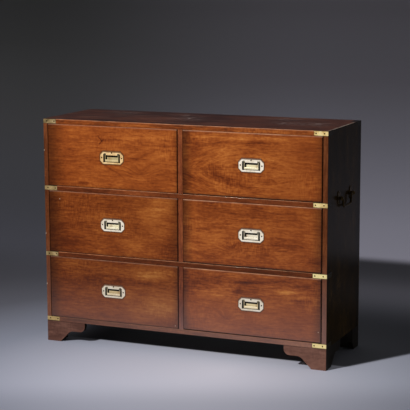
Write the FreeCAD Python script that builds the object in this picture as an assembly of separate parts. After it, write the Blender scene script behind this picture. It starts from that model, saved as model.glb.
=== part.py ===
# Low campaign chest of six drawers in solid mahogany, two columns by three rows, on bracket feet.
# Flush brass: corner straps, sunk drawer pulls with a hinged bail, and a drop handle on each end.
# Millimetres, +Z up, the front faces -Y, and the origin is on the floor under the chest's centre.
import FreeCAD, Part
import math
import os

# The case
case_width = 1220.0
case_depth = 410.0
case_height = 927.0
side_thick = 20.0
top_thick = 19.0
bottom_thick = 19.0
arris_radius = 1.4

# The front frame
rail_thick = 19.0
rail_depth = 60.0
rail_housing = 7.0
divider_width = 20.0
divider_tenon_length = 8.0
divider_tenon_thick = 9.0
divider_tenon_setback = 15.0

# What carries and guides the drawers inside the case
rear_rail_depth = 45.0
runner_width = 38.0
runner_groove = 5.0
bearer_width = 92.0
bearer_tenon_length = 9.0
bearer_tenon_thick = 8.0
guide_height = 14.0
stop_length = 42.0
stop_depth = 22.0
stop_height = 5.0
stop_inset = 60.0
stop_gap = 0.3

# The back, of tongued boards
back_thick = 9.0
back_lap = 9.5
back_board_count = 6
back_tongue_length = 4.0
back_tongue_thick = 3.0
back_joint_gap = 0.4

# The bracket feet
foot_height = 86.0
foot_width = 174.0
foot_thick = 19.0
foot_pad = 60.0
foot_ankle_width = 30.0
foot_ankle_height = 30.0
foot_knee_width = 118.0
foot_knee_height = 47.0
foot_lobe_radius = 24.0
back_bracket_width = 125.0
back_bracket_rise = 60.0
rear_end_bracket_width = 80.0
rear_end_bracket_rise = 30.0
foot_block_width = 42.0
foot_block_clearance = 4.0

# The drawers
drawer_gap_left = 1.0
drawer_gap_right = 2.4
drawer_gap_top = 1.2
drawer_seat_gap = 0.3
drawer_rear_gap = 12.0
front_thick = 21.0
front_lift_left = 0.6
front_lift_right = 2.7
lining_side_thick = 11.0
lining_side_drop = 6.0
lining_back_thick = 10.0
lining_back_drop = 8.0
lining_bottom_thick = 6.0
lining_bottom_raise = 11.0
lining_groove = 5.0

# The dovetails that join each drawer
tail_count = 5
tail_lap = 6.0
tail_width_share = 0.68
tail_slope_share = 0.13

# The sunk pull: its cast plate and cup
plate_width = 106.0
plate_height = 55.0
plate_thick = 2.4
plate_proud = 0.8
plate_corner = 13.5
plate_edge = 0.5
recess_width = 70.6
recess_height = 28.3
recess_drop = 4.2
cup_depth = 10.5
cup_wall = 1.6

# The pull's bail, which hangs from two short pins
bail_arm_width = 4.4
bail_bar_height = 8.6
bail_thick = 3.6
bail_inset = 0.4
bail_side_gap = 3.2
bail_foot_gap = 2.4
bail_eye_radius = 2.9
bail_eye_width = 9.4
bail_eye_gap = 0.4
bail_pivot_rise = 4.6
bail_swing_gap = 0.5
bail_corner_radius = 3.5
bail_inner_radius = 2.0
bail_edge = 1.2
pin_radius = 1.25
pin_running_gap = 0.06

# Wood screws with slotted countersunk heads
screw_head_radius = 3.0
screw_head_depth = 1.9
screw_shank_radius = 1.4
screw_tip_length = 4.0
screw_slot_width = 0.9
screw_slot_depth = 0.8
screw_slot_turn_step = 37.0
strap_screw_length = 15.0
back_screw_length = 24.0
pull_screw_length = 12.0
mount_screw_length = 15.0
pull_screw_inset = 8.5
pull_screw_drop = 7.5
back_screw_inset = 66.0

# The brass straps at the corners
strap_length = 58.0
strap_thick = 2.0
strap_tip_screw_inset = 9.0
strap_corner_screw_inset = 15.0

# The drop handle on each end: mounts and bail
handle_height = 654.0
handle_span = 146.0
handle_offset = 11.0
mount_plate_width = 28.0
mount_plate_height = 52.0
mount_plate_thick = 2.6
mount_plate_rise = 2.0
mount_plate_edge = 0.8
mount_neck_radius = 6.0
mount_ball_radius = 8.5
mount_screw_inset = 7.0
grip_bar_radius = 4.4
grip_stub_radius = 3.2
grip_stub_reach = 1.0
grip_running_gap = 0.08
grip_end_gap = 0.6
grip_shoulder_width = 104.0
grip_shoulder_radius = 7.0
grip_bar_width = 92.0
grip_bar_drop = 37.0
grip_corner_radius = 12.0

# How far a cutting tool runs past what it cuts
overrun = 5.0

# Names of the rows from the floor up, and of the columns
ROWS = ("bottom", "middle", "top")
COLUMNS = ("left", "right")

# Places worked out from the sizes above
half_width = case_width / 2
front_y = -(case_depth - plate_proud) / 2
back_y = front_y + case_depth
inner_x = half_width - side_thick
inner_back_y = back_y - back_thick
opening_height = (
    case_height - foot_height - top_thick - bottom_thick - (len(ROWS) - 1) * rail_thick
) / len(ROWS)
opening_width = inner_x - divider_width / 2
rear_rail_y = inner_back_y - rear_rail_depth
bearing_y = front_y + rail_depth

drawer_width = opening_width - drawer_gap_left - drawer_gap_right
drawer_length = case_depth - back_thick - drawer_rear_gap
front_top = opening_height - drawer_seat_gap - drawer_gap_top
lining_side_top = front_top - lining_side_drop
lining_bottom_top = lining_bottom_raise + lining_bottom_thick


def vec(x, y, z):
    return FreeCAD.Vector(x, y, z)


X_AXIS = vec(1, 0, 0)
Y_AXIS = vec(0, 1, 0)
Z_AXIS = vec(0, 0, 1)
ORIGIN = vec(0, 0, 0)


def block(x0, x1, y0, y1, z0, z1):
    """A box between two corners."""
    return Part.makeBox(x1 - x0, y1 - y0, z1 - z0, vec(x0, y0, z0))


def prism(corners, along):
    """A flat outline of straight sides, pushed along a vector."""
    return Part.Face(Part.makePolygon(corners + corners[:1])).extrude(along)


def mirror_x(shape):
    return shape.mirror(ORIGIN, X_AXIS)


def moved(shape, x, y, z):
    copy = shape.copy()
    copy.translate(vec(x, y, z))
    return copy


def carve(piece, tools):
    """Cuts the tools that reach a piece out of it."""
    near = [tool for tool in tools if piece.BoundBox.intersect(tool.BoundBox)]
    return piece.cut(near) if near else piece


def join(pieces):
    whole = pieces[0].fuse(pieces[1:])
    return whole.removeSplitter()


def round_edges(piece, radius, wanted):
    """Rounds the edges of a piece for which wanted(edge) holds."""
    edges = [edge for edge in piece.Edges if wanted(edge)]
    return piece.makeFillet(radius, edges) if edges else piece


def lies_at(edge, axis, place):
    """True if an edge lies all along one value of x, y or z."""
    low = getattr(edge.BoundBox, axis + "Min")
    high = getattr(edge.BoundBox, axis + "Max")
    return math.isclose(low, place, abs_tol=side_thick / 1000) and math.isclose(high, low, abs_tol=side_thick / 1000)


def solids_of(shape):
    return shape.Solids


def save(name, pieces):
    """Writes one node: its solids, each a separate piece."""
    solids = [solid for piece in pieces for solid in solids_of(piece)]
    whole = solids[0] if len(solids) == 1 else Part.makeCompound(solids)
    whole.exportStep(os.path.join("parts", name + ".step"))


def opening_floor(row):
    """Height of the surface that a row's drawers run on."""
    return foot_height + bottom_thick + row * (opening_height + rail_thick)


def opening_start(column):
    """Left edge of a column's openings."""
    return -inner_x if column == "left" else divider_width / 2


def rail_levels():
    """Height of the underside of each rail between two rows."""
    return [opening_floor(row) - rail_thick for row in range(1, len(ROWS))]


# The outside of the chest, whose arrises are eased alike
def make_envelope():
    box = block(-half_width, half_width, front_y, back_y, 0, case_height)
    upright = [e for e in box.Edges if lies_at(e, "X", e.BoundBox.XMin) and lies_at(e, "Y", e.BoundBox.YMin)]
    upper = [e for e in box.Edges if lies_at(e, "Z", case_height)]
    return box.makeFillet(arris_radius, upright + upper)


# Screws, built with the head's face at the origin and the shank along +Y
def make_screw(length):
    profile = [
        vec(0, 0, 0),
        vec(screw_head_radius, 0, 0),
        vec(screw_shank_radius, screw_head_depth, 0),
        vec(screw_shank_radius, length - screw_tip_length, 0),
        vec(0, length, 0),
    ]
    face = Part.Face(Part.makePolygon(profile + profile[:1]))
    return face.revolve(ORIGIN, Y_AXIS, 360)


def cut_slot(screw):
    slot = block(
        -screw_head_radius - overrun,
        screw_head_radius + overrun,
        -overrun,
        screw_slot_depth,
        -screw_slot_width / 2,
        screw_slot_width / 2,
    )
    return screw.cut(slot)


def place_screw(screw, at, heading, slot_turn):
    """A screw with its head at a point and its shank along +Y turned by heading about +Z."""
    placed = screw.copy()
    placed.rotate(ORIGIN, Y_AXIS, slot_turn)
    placed.rotate(ORIGIN, Z_AXIS, heading)
    placed.translate(at)
    return placed


class Screws:
    """Screws of one length: plain ones that cut their holes, and slotted ones that are kept."""

    def __init__(self, length):
        self.tool = make_screw(length)
        self.slotted = cut_slot(self.tool)
        self.tools = []
        self.kept = []

    def drive(self, at, heading):
        turn = screw_slot_turn_step * len(self.kept)
        self.tools.append(place_screw(self.tool, at, heading, turn))
        self.kept.append(place_screw(self.slotted, at, heading, turn))


# Headings that drive a screw into the front, the back, the right end and the left end
INTO_FRONT = 0
INTO_BACK = 180
INTO_RIGHT = 90
INTO_LEFT = -90


# Corner straps: flat brass angles let in flush
def strap_levels():
    """Height of the underside of each strap on a front corner."""
    levels = [opening_floor(row) - rail_thick for row in range(len(ROWS))]
    return levels + [case_height - rail_thick]


def make_strap(level):
    """The angle on the right front corner, sharp at its outer edge."""
    face = block(half_width - strap_length, half_width, front_y, front_y + strap_thick, level, level + rail_thick)
    end = block(half_width - strap_thick, half_width, front_y, front_y + strap_length, level, level + rail_thick)
    return join([face, end])


def make_rear_strap():
    """The angle on the right rear corner, level with the top."""
    level = case_height - rail_thick
    back = block(half_width - strap_length, half_width, back_y - strap_thick, back_y, level, level + rail_thick)
    end = block(half_width - strap_thick, half_width, back_y - strap_length, back_y, level, level + rail_thick)
    return join([back, end])


def drive_strap_screws(screws):
    """Four screws through each strap, mirrored from right to left."""
    insets = (strap_corner_screw_inset, strap_length - strap_tip_screw_inset)
    for level in strap_levels():
        z = level + rail_thick / 2
        for inset in insets:
            screws.drive(vec(half_width - inset, front_y, z), INTO_FRONT)
            screws.drive(vec(inset - half_width, front_y, z), INTO_FRONT)
            screws.drive(vec(half_width, front_y + inset, z), INTO_RIGHT)
            screws.drive(vec(-half_width, front_y + inset, z), INTO_LEFT)
    z = case_height - rail_thick / 2
    for inset in insets:
        screws.drive(vec(half_width - inset, back_y, z), INTO_BACK)
        screws.drive(vec(inset - half_width, back_y, z), INTO_BACK)
        screws.drive(vec(half_width, back_y - inset, z), INTO_RIGHT)
        screws.drive(vec(-half_width, back_y - inset, z), INTO_LEFT)


# Case boards, mitred to each other at the four long corners
def make_top():
    low = case_height - top_thick
    section = [
        vec(-half_width, front_y, case_height),
        vec(half_width, front_y, case_height),
        vec(inner_x, front_y, low),
        vec(-inner_x, front_y, low),
    ]
    return prism(section, vec(0, case_depth, 0)).cut(back_rebate())


def make_bottom():
    high = foot_height + bottom_thick
    section = [
        vec(-half_width, front_y, foot_height),
        vec(half_width, front_y, foot_height),
        vec(inner_x, front_y, high),
        vec(-inner_x, front_y, high),
    ]
    return prism(section, vec(0, case_depth, 0)).cut(back_rebate())


def make_side():
    """The right side, before its grooves are cut."""
    section = [
        vec(half_width, front_y, foot_height),
        vec(half_width, front_y, case_height),
        vec(inner_x, front_y, case_height - top_thick),
        vec(inner_x, front_y, foot_height + bottom_thick),
    ]
    side = prism(section, vec(0, case_depth, 0)).cut(back_rebate())
    inner_front = lambda e: lies_at(e, "X", inner_x) and lies_at(e, "Y", front_y)
    return round_edges(side, arris_radius, inner_front)


def back_rebate():
    """The space let into the four case boards for the back."""
    return block(
        -inner_x - back_lap,
        inner_x + back_lap,
        inner_back_y,
        back_y + overrun,
        foot_height + bottom_thick - back_lap,
        case_height - top_thick + back_lap,
    )


# Front rails and the short dividers between them
def make_rail(level):
    rail = block(
        -inner_x - rail_housing,
        inner_x + rail_housing,
        front_y,
        bearing_y,
        level,
        level + rail_thick,
    )
    return round_edges(rail, arris_radius, lambda e: is_long_front_edge(e, level))


def is_long_front_edge(edge, level):
    ends = lies_at(edge, "Z", level) or lies_at(edge, "Z", level + rail_thick)
    return ends and lies_at(edge, "Y", front_y)


def make_divider(row):
    """An upright between two rows' rails, with a stub tenon at each end."""
    low = opening_floor(row)
    high = low + opening_height
    half = divider_width / 2
    post = block(-half, half, front_y, bearing_y, low, high)
    front_edges = lambda e: lies_at(e, "Y", front_y) and (lies_at(e, "X", half) or lies_at(e, "X", -half))
    post = round_edges(post, arris_radius, front_edges)
    tenon = block(
        -divider_tenon_thick / 2,
        divider_tenon_thick / 2,
        front_y + divider_tenon_setback,
        bearing_y - divider_tenon_setback,
        low - divider_tenon_length,
        high + divider_tenon_length,
    )
    return join([post, tenon])


# Inside the case: rear rails, side runners, centre bearers, guides and stops
def make_rear_rail(level):
    return block(
        -inner_x - rail_housing,
        inner_x + rail_housing,
        rear_rail_y,
        inner_back_y,
        level,
        level + rail_thick,
    )


def make_runner(level):
    """The right-hand runner, grooved into the side."""
    return block(
        inner_x - runner_width,
        inner_x + runner_groove,
        bearing_y,
        rear_rail_y,
        level,
        level + rail_thick,
    )


def make_bearer(level):
    """The wide bearer under both inner drawer sides, tenoned into the two rails."""
    half = bearer_width / 2
    body = block(-half, half, bearing_y, rear_rail_y, level, level + rail_thick)
    middle = level + rail_thick / 2
    tenon = block(
        -half + divider_width,
        half - divider_width,
        bearing_y - bearer_tenon_length,
        rear_rail_y + bearer_tenon_length,
        middle - bearer_tenon_thick / 2,
        middle + bearer_tenon_thick / 2,
    )
    return join([body, tenon])


def make_guide(row):
    """The strip that keeps the two drawers of a row apart."""
    half = divider_width / 2
    floor = opening_floor(row)
    return block(-half, half, bearing_y, inner_back_y, floor, floor + guide_height)


def make_stops(row, column):
    """Two blocks that a drawer's front comes up against."""
    floor = opening_floor(row)
    start = opening_start(column)
    y = front_y + front_thick + stop_gap
    stops = []
    for centre in (start + stop_inset, start + opening_width - stop_inset):
        half = stop_length / 2
        stops.append(block(centre - half, centre + half, y, y + stop_depth, floor, floor + stop_height))
    return stops


# The back
def make_back_boards():
    low = foot_height + bottom_thick - back_lap
    high = case_height - top_thick + back_lap
    start = -inner_x - back_lap
    pitch = 2 * (inner_x + back_lap) / back_board_count
    middle = (inner_back_y + back_y) / 2
    boards = []
    for n in range(back_board_count):
        x0 = start + n * pitch
        last = n == back_board_count - 1
        x1 = x0 + pitch - (0 if last else back_joint_gap)
        board = block(x0, x1, inner_back_y, back_y, low, high)
        tongue_y = (middle - back_tongue_thick / 2, middle + back_tongue_thick / 2)
        if n > 0:
            groove = block(x0 - overrun, x0 + back_tongue_length, *tongue_y, low - overrun, high + overrun)
            board = board.cut(groove)
        if not last:
            tongue = block(x1, x1 + back_tongue_length, *tongue_y, low, high)
            board = join([board, tongue])
        boards.append(board)
    return boards


def drive_back_screws(screws):
    """Two screws at each end of every board, and one into each rear rail."""
    low = foot_height + bottom_thick - back_lap / 2
    high = case_height - top_thick + back_lap / 2
    start = -inner_x - back_lap
    pitch = 2 * (inner_x + back_lap) / back_board_count
    for n in range(back_board_count):
        x0 = start + n * pitch
        for x in (x0 + back_screw_inset, x0 + pitch - back_screw_inset):
            screws.drive(vec(x, back_y, low), INTO_BACK)
            screws.drive(vec(x, back_y, high), INTO_BACK)
        for level in rail_levels():
            screws.drive(vec(x0 + pitch / 2, back_y, level + rail_thick / 2), INTO_BACK)


# Bracket feet
def foot_outline():
    """Corner points, as (distance from the foot's corner, height), and the two curves between them."""
    pad = (foot_pad, 0)
    ankle = (foot_pad + foot_ankle_width, foot_ankle_height)
    knee = (foot_knee_width, foot_knee_height)
    lobe = (foot_width - foot_lobe_radius, foot_knee_height)
    tip = (foot_width, foot_knee_height + foot_lobe_radius)
    return pad, ankle, knee, lobe, tip


def ankle_arc_middle(ankle, knee):
    """A point on the hollow curve that leaves the ankle steeply and ends level at the knee."""
    run = knee[0] - ankle[0]
    rise = knee[1] - ankle[1]
    reach = math.hypot(run, rise)
    bulge = reach * (math.sqrt(2) - 1) / 4
    return (
        (ankle[0] + knee[0]) / 2 - bulge * rise / reach,
        (ankle[1] + knee[1]) / 2 + bulge * run / reach,
    )


def lobe_arc_middle():
    """The middle of the rounded lobe."""
    centre = (foot_width - foot_lobe_radius, foot_knee_height + foot_lobe_radius)
    reach = foot_lobe_radius * math.sqrt(2) / 2
    return (centre[0] + reach, centre[1] - reach)


def bracket_face(point):
    """The shaped bracket's outline, where point(u, z) puts it in space."""
    pad, ankle, knee, lobe, tip = foot_outline()
    edges = [
        Part.makeLine(point(0, 0), point(*pad)),
        Part.makeLine(point(*pad), point(*ankle)),
        Part.Arc(point(*ankle), point(*ankle_arc_middle(ankle, knee)), point(*knee)).toShape(),
        Part.makeLine(point(*knee), point(*lobe)),
        Part.Arc(point(*lobe), point(*lobe_arc_middle()), point(*tip)).toShape(),
        Part.makeLine(point(*tip), point(foot_width, foot_height)),
        Part.makeLine(point(foot_width, foot_height), point(0, foot_height)),
        Part.makeLine(point(0, foot_height), point(0, 0)),
    ]
    return Part.Face(Part.Wire(edges))


def mitre_plan(near, far):
    """Plan of a bracket along the front, mitred where it meets the one along the end."""
    plan = [
        vec(half_width, front_y, 0),
        vec(half_width - far, front_y, 0),
        vec(half_width - far, front_y + near, 0),
        vec(half_width - near, front_y + near, 0),
    ]
    return prism(plan, vec(0, 0, foot_height))


def make_front_bracket():
    point = lambda u, z: vec(half_width - u, front_y, z)
    board = bracket_face(point).extrude(vec(0, foot_thick, 0))
    return board.common(mitre_plan(foot_thick, foot_width))


def make_end_bracket():
    point = lambda u, z: vec(half_width, front_y + u, z)
    board = bracket_face(point).extrude(vec(-foot_thick, 0, 0))
    return board.cut(mitre_plan(foot_thick, foot_width))


def plain_bracket(point, width, rise):
    """Outline of a rear bracket, with a straight slope from its pad to its end."""
    return [point(0, 0), point(foot_pad, 0), point(width, rise), point(width, foot_height), point(0, foot_height)]


def make_back_bracket():
    point = lambda u, z: vec(half_width - u, back_y, z)
    board = prism(plain_bracket(point, back_bracket_width, back_bracket_rise), vec(0, -foot_thick, 0))
    return board.common(mirror_depth(mitre_plan(foot_thick, back_bracket_width)))


def make_rear_end_bracket():
    point = lambda u, z: vec(half_width, back_y - u, z)
    board = prism(plain_bracket(point, rear_end_bracket_width, rear_end_bracket_rise), vec(-foot_thick, 0, 0))
    return board.cut(mirror_depth(mitre_plan(foot_thick, back_bracket_width)))


def mirror_depth(shape):
    """Front to back, about the middle of the case."""
    return shape.mirror(vec(0, (front_y + back_y) / 2, 0), Y_AXIS)


def make_foot_block():
    """The glue block inside the corner of a front foot."""
    x1 = half_width - foot_thick
    y0 = front_y + foot_thick
    return block(x1 - foot_block_width, x1, y0, y0 + foot_block_width, foot_block_clearance, foot_height)


def save_feet(envelope):
    front = [make_front_bracket().common(envelope), make_end_bracket().common(envelope), make_foot_block()]
    rear = [
        make_back_bracket().common(envelope),
        make_rear_end_bracket().common(envelope),
        mirror_depth(make_foot_block()),
    ]
    for where, pieces in (("front", front), ("rear", rear)):
        save(f"foot_{where}_right", pieces)
        save(f"foot_{where}_left", [mirror_x(piece) for piece in pieces])


# The sunk pull, built with the drawer's face at y 0 and the plate's centre at the origin
face_y = -plate_proud
plate_back_y = plate_thick - plate_proud
cup_floor_y = face_y + cup_depth
recess_low = -recess_drop - recess_height / 2
recess_high = recess_low + recess_height
arm_x = recess_width / 2 - bail_side_gap - bail_arm_width / 2
pocket_half = bail_eye_width / 2 + bail_eye_gap
pivot_y = face_y + bail_inset + bail_eye_radius
pivot_z = recess_high + bail_pivot_rise
pocket_high = pivot_z + bail_eye_radius + bail_swing_gap
pocket_y = pivot_y + bail_eye_radius + bail_swing_gap


def plate_outline(y, shrink):
    x = plate_width / 2 - shrink
    z = plate_height / 2 - shrink
    cut = plate_corner - shrink * (2 - math.sqrt(2))
    return [
        vec(x - cut, y, -z),
        vec(x, y, -z + cut),
        vec(x, y, z - cut),
        vec(x - cut, y, z),
        vec(cut - x, y, z),
        vec(-x, y, z - cut),
        vec(-x, y, -z + cut),
        vec(cut - x, y, -z),
    ]


def make_plate_blank():
    """The octagonal plate with a bevelled rim."""
    body = prism(plate_outline(face_y + plate_edge, 0), vec(0, plate_thick - plate_edge, 0))
    rings = [Part.makePolygon(p + p[:1]) for p in (plate_outline(face_y, plate_edge), plate_outline(face_y + plate_edge, 0))]
    rim = Part.makeLoft(rings, True, True)
    return join([body, rim])


def make_pull_envelope():
    """The whole casting with nothing hollowed: what the drawer front is mortised for."""
    cup = block(
        -recess_width / 2 - cup_wall,
        recess_width / 2 + cup_wall,
        0,
        cup_floor_y + cup_wall,
        recess_low - cup_wall,
        recess_high + cup_wall,
    )
    bosses = [
        block(
            side * arm_x - pocket_half - cup_wall,
            side * arm_x + pocket_half + cup_wall,
            0,
            pocket_y + cup_wall,
            recess_high,
            pocket_high + cup_wall,
        )
        for side in (-1, 1)
    ]
    return join([make_plate_blank(), cup] + bosses)


def make_pull_hollow():
    """The cup's inside, and a pocket for each eye of the bail."""
    cup = block(
        -recess_width / 2,
        recess_width / 2,
        face_y - overrun,
        cup_floor_y,
        recess_low,
        recess_high,
    )
    pockets = [
        block(
            side * arm_x - pocket_half,
            side * arm_x + pocket_half,
            face_y - overrun,
            pocket_y,
            recess_high - bail_eye_radius,
            pocket_high,
        )
        for side in (-1, 1)
    ]
    return join([cup] + pockets)


def make_pull_pins():
    length = 2 * (pocket_half + cup_wall)
    return [
        Part.makeCylinder(pin_radius, length, vec(side * arm_x - length / 2, pivot_y, pivot_z), X_AXIS)
        for side in (-1, 1)
    ]


def drive_pull_screws(screws):
    """One screw at each end of the plate and one over the recess."""
    end = plate_width / 2 - pull_screw_inset
    screws.drive(vec(-end, face_y, 0), INTO_FRONT)
    screws.drive(vec(end, face_y, 0), INTO_FRONT)
    screws.drive(vec(0, face_y, plate_height / 2 - pull_screw_drop), INTO_FRONT)


def make_pull_plate(pins, screws):
    casting = make_pull_envelope().cut(make_pull_hollow())
    return carve(carve(casting, pins), screws.tools)


def bail_profile(half, low, high, corner):
    """A face of straight sides with two rounded lower corners, on the bail's front."""
    y = face_y + bail_inset
    centre_z = low + corner
    reach = corner * math.sqrt(2) / 2
    left = -half + corner
    right = half - corner
    edges = [
        Part.makeLine(vec(left, y, low), vec(right, y, low)),
        Part.Arc(
            vec(right, y, low), vec(right + reach, y, centre_z - reach), vec(half, y, centre_z)
        ).toShape(),
        Part.makeLine(vec(half, y, centre_z), vec(half, y, high)),
        Part.makeLine(vec(half, y, high), vec(-half, y, high)),
        Part.makeLine(vec(-half, y, high), vec(-half, y, centre_z)),
        Part.Arc(vec(-half, y, centre_z), vec(left - reach, y, centre_z - reach), vec(left, y, low)).toShape(),
    ]
    return Part.Face(Part.Wire(edges))


def make_pull_bail():
    """A flat U of brass: two arms with barrel eyes round the pins, and a bar to pull on."""
    low = recess_low + bail_foot_gap
    outer = arm_x + bail_arm_width / 2
    inner = arm_x - bail_arm_width / 2
    depth = vec(0, bail_thick, 0)
    frame = bail_profile(outer, low, pivot_z, bail_corner_radius).extrude(depth)
    window = bail_profile(inner, low + bail_bar_height, pivot_z + overrun, bail_inner_radius).extrude(depth)
    frame = frame.cut(window)
    y = face_y + bail_inset
    frame = round_edges(frame, bail_edge, lambda e: lies_at(e, "Y", y) and not lies_at(e, "Z", pivot_z))
    eyes = [
        Part.makeCylinder(
            bail_eye_radius,
            bail_eye_width,
            vec(side * arm_x - bail_eye_width / 2, pivot_y, pivot_z),
            X_AXIS,
        )
        for side in (-1, 1)
    ]
    bore = Part.makeCylinder(
        pin_radius + pin_running_gap,
        2 * (arm_x + bail_eye_width),
        vec(-arm_x - bail_eye_width, pivot_y, pivot_z),
        X_AXIS,
    )
    return join([frame] + eyes).cut(bore)


# A drawer, built with its left lower front corner at the origin
def make_tails(y_root, y_tip, z_low, z_high, thick):
    """The dovetails on the end of a drawer side: wider at the tip than at the root."""
    pitch = (z_high - z_low) / tail_count
    tip = pitch * tail_width_share / 2
    root = tip - abs(y_tip - y_root) * tail_slope_share
    tails = []
    for n in range(tail_count):
        z = z_low + (n + 1 / 2) * pitch
        outline = [
            vec(0, y_root, z - root),
            vec(0, y_root, z + root),
            vec(0, y_tip, z + tip),
            vec(0, y_tip, z - tip),
        ]
        tails.append(prism(outline, vec(thick, 0, 0)))
    return tails


def make_drawer(lift, pull_tools):
    """The drawer's front, which clears the rail by its lift, its lining sides and back, and its lining bottom."""
    front = block(0, drawer_width, 0, front_thick, lift, front_top)
    front = round_edges(front, arris_radius, lambda e: lies_at(e, "Y", 0))
    bottom = block(
        lining_side_thick - lining_groove,
        drawer_width - lining_side_thick + lining_groove,
        front_thick - lining_groove,
        drawer_length,
        lining_bottom_raise,
        lining_bottom_top,
    )
    back_inner_y = drawer_length - lining_back_thick
    back_top = lining_side_top - lining_back_drop
    front_tails = make_tails(front_thick, tail_lap, lift, lining_side_top, lining_side_thick)
    rear_tails = make_tails(back_inner_y, drawer_length, lining_bottom_top, back_top, lining_side_thick)
    to_right = drawer_width - lining_side_thick
    right_front_tails = [moved(tail, to_right, 0, 0) for tail in front_tails]
    right_rear_tails = [moved(tail, to_right, 0, 0) for tail in rear_tails]
    back = block(0, drawer_width, back_inner_y, drawer_length, lining_bottom_top, back_top)
    back = back.cut(rear_tails + right_rear_tails)
    board = block(0, lining_side_thick, front_thick, drawer_length, 0, lining_side_top)
    left = join([board] + front_tails).cut([back, bottom])
    right = join([moved(board, to_right, 0, 0)] + right_front_tails).cut([back, bottom])
    front = front.cut(front_tails + right_front_tails + [bottom])
    front = front.cut([moved(tool, *pull_place(lift)) for tool in pull_tools])
    return front, [left, right, back], bottom


def pull_place(lift):
    """Where the pull's centre is on a drawer whose front has that lift."""
    return drawer_width / 2, 0, (lift + front_top) / 2


def save_drawers():
    screws = Screws(pull_screw_length)
    drive_pull_screws(screws)
    pins = make_pull_pins()
    plate = make_pull_plate(pins, screws)
    bail = make_pull_bail()
    fixings = pins + screws.kept
    pull_tools = [make_pull_envelope()] + pins + screws.tools
    for column, lift in zip(COLUMNS, (front_lift_left, front_lift_right)):
        front, box, bottom = make_drawer(lift, pull_tools)
        at = pull_place(lift)
        pieces = {
            "front": [front],
            "box": box,
            "bottom": [bottom],
            "pull_plate": [moved(plate, *at)],
            "pull_bail": [moved(bail, *at)],
            "pull_fixings": [moved(piece, *at) for piece in fixings],
        }
        for row, row_name in enumerate(ROWS):
            place = (opening_start(column) + drawer_gap_left, front_y, opening_floor(row) + drawer_seat_gap)
            for kind, group in pieces.items():
                save(f"drawer_{row_name}_{column}_{kind}", [moved(piece, *place) for piece in group])


# The drop handle on the right end; the left one is its mirror image
pivot_x = half_width + handle_offset
handle_y = (front_y + back_y) / 2


def stadium(half, low, high):
    """A tall face with half-round ends, on the right end of the case."""
    x = half_width
    edges = [
        Part.makeLine(vec(x, half, low + half), vec(x, half, high - half)),
        Part.Arc(vec(x, half, high - half), vec(x, 0, high), vec(x, -half, high - half)).toShape(),
        Part.makeLine(vec(x, -half, high - half), vec(x, -half, low + half)),
        Part.Arc(vec(x, -half, low + half), vec(x, 0, low), vec(x, half, low + half)).toShape(),
    ]
    return Part.Face(Part.Wire(edges))


def mount_plate_ends():
    middle = handle_height + mount_plate_rise
    return middle - mount_plate_height / 2, middle + mount_plate_height / 2


def make_mount():
    """A backplate with a neck and a ball, bored for the bail's stub, at y 0."""
    low, high = mount_plate_ends()
    plate = stadium(mount_plate_width / 2, low, high).extrude(vec(mount_plate_thick, 0, 0))
    rim_x = half_width + mount_plate_thick
    plate = round_edges(plate, mount_plate_edge, lambda e: lies_at(e, "X", rim_x))
    neck = Part.makeCylinder(mount_neck_radius, handle_offset, vec(half_width, 0, handle_height), X_AXIS)
    ball = Part.makeSphere(mount_ball_radius, vec(pivot_x, 0, handle_height))
    wood = block(half_width - overrun * 2, half_width, -overrun * 2, overrun * 2, low, high)
    bore = Part.makeCylinder(
        grip_stub_radius + grip_running_gap,
        2 * (mount_ball_radius + overrun),
        vec(pivot_x, -mount_ball_radius - overrun, handle_height),
        Y_AXIS,
    )
    return join([plate, neck, ball]).cut([wood, bore])


def rounded_path(points, radii):
    """Straight runs joined by tangent arcs of the given radii at the inner points."""
    edges = []
    start = points[0]
    for before, corner, after, radius in zip(points, points[1:], points[2:], radii):
        back = (before - corner).normalize()
        on = (after - corner).normalize()
        half_turn = back.getAngle(on) / 2
        trim = radius / math.tan(half_turn)
        reach = radius / math.sin(half_turn) - radius
        toward = (back + on).normalize()
        arc_start = corner + back * trim
        arc_end = corner + on * trim
        edges.append(Part.makeLine(start, arc_start))
        edges.append(Part.Arc(arc_start, corner + toward * reach, arc_end).toShape())
        start = arc_end
    edges.append(Part.makeLine(start, points[-1]))
    return Part.Wire(edges)


def make_grip():
    """The hanging bail of round bar, with a stub at each end that turns in a mount."""
    end = handle_span / 2 - mount_ball_radius - grip_end_gap
    shoulder = grip_shoulder_width / 2
    foot = grip_bar_width / 2
    low = handle_height - grip_bar_drop
    corners = [
        vec(pivot_x, -end, handle_height),
        vec(pivot_x, -shoulder, handle_height),
        vec(pivot_x, -foot, low),
        vec(pivot_x, foot, low),
        vec(pivot_x, shoulder, handle_height),
        vec(pivot_x, end, handle_height),
    ]
    radii = [grip_shoulder_radius, grip_corner_radius, grip_corner_radius, grip_shoulder_radius]
    ring = Part.Wire(Part.makeCircle(grip_bar_radius, corners[0], Y_AXIS))
    bar = rounded_path(corners, radii).makePipeShell([ring], True, False)
    stub_end = handle_span / 2 + mount_ball_radius + grip_stub_reach
    stubs = [
        Part.makeCylinder(grip_stub_radius, stub_end - end, vec(pivot_x, side * end, handle_height), Y_AXIS * side)
        for side in (-1, 1)
    ]
    return join([bar] + stubs)


def mount_places():
    return handle_y - handle_span / 2, handle_y + handle_span / 2


def drive_mount_screws(screws):
    """A screw near each end of every mount's backplate."""
    low, high = mount_plate_ends()
    x = half_width + mount_plate_thick
    for y in mount_places():
        for z in (low + mount_screw_inset, high - mount_screw_inset):
            screws.drive(vec(x, y, z), INTO_RIGHT)
            screws.drive(vec(-x, y, z), INTO_LEFT)


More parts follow.
